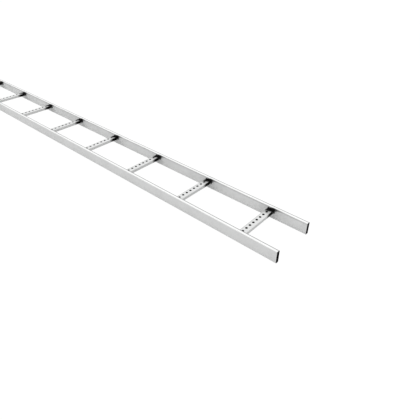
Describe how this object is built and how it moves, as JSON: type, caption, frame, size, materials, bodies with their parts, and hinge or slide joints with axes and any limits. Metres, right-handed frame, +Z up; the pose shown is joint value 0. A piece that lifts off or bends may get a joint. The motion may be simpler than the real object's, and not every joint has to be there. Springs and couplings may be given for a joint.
{
  "type": "cable ladder section",
  "caption": "Straight cable ladder section: tubular side rails joined by flat perforated channel rungs, white painted steel.",
  "frame": {"origin": "middle of the ladder's length and width, on the plane that the rails stand on", "axes": "+X along the rails, +Y across to the left rail, +Z up, with the holed faces of the rungs up"},
  "size_m": [3, 0.2, 0.048],
  "materials": {
    "rail_paint": "semi-gloss white paint",
    "rung_paint": "semi-gloss white paint, dark at the welds"
  },
  "bodies": {
    "root": {"side_rail_left": "rail_paint", "side_rail_right": "rail_paint", "rung_01": "rung_paint", "rung_02": "rung_paint", "rung_03": "rung_paint", "rung_04": "rung_paint", "rung_05": "rung_paint", "rung_06": "rung_paint", "rung_07": "rung_paint", "rung_08": "rung_paint", "rung_09": "rung_paint", "rung_10": "rung_paint"}
  },
  "joints": []
}
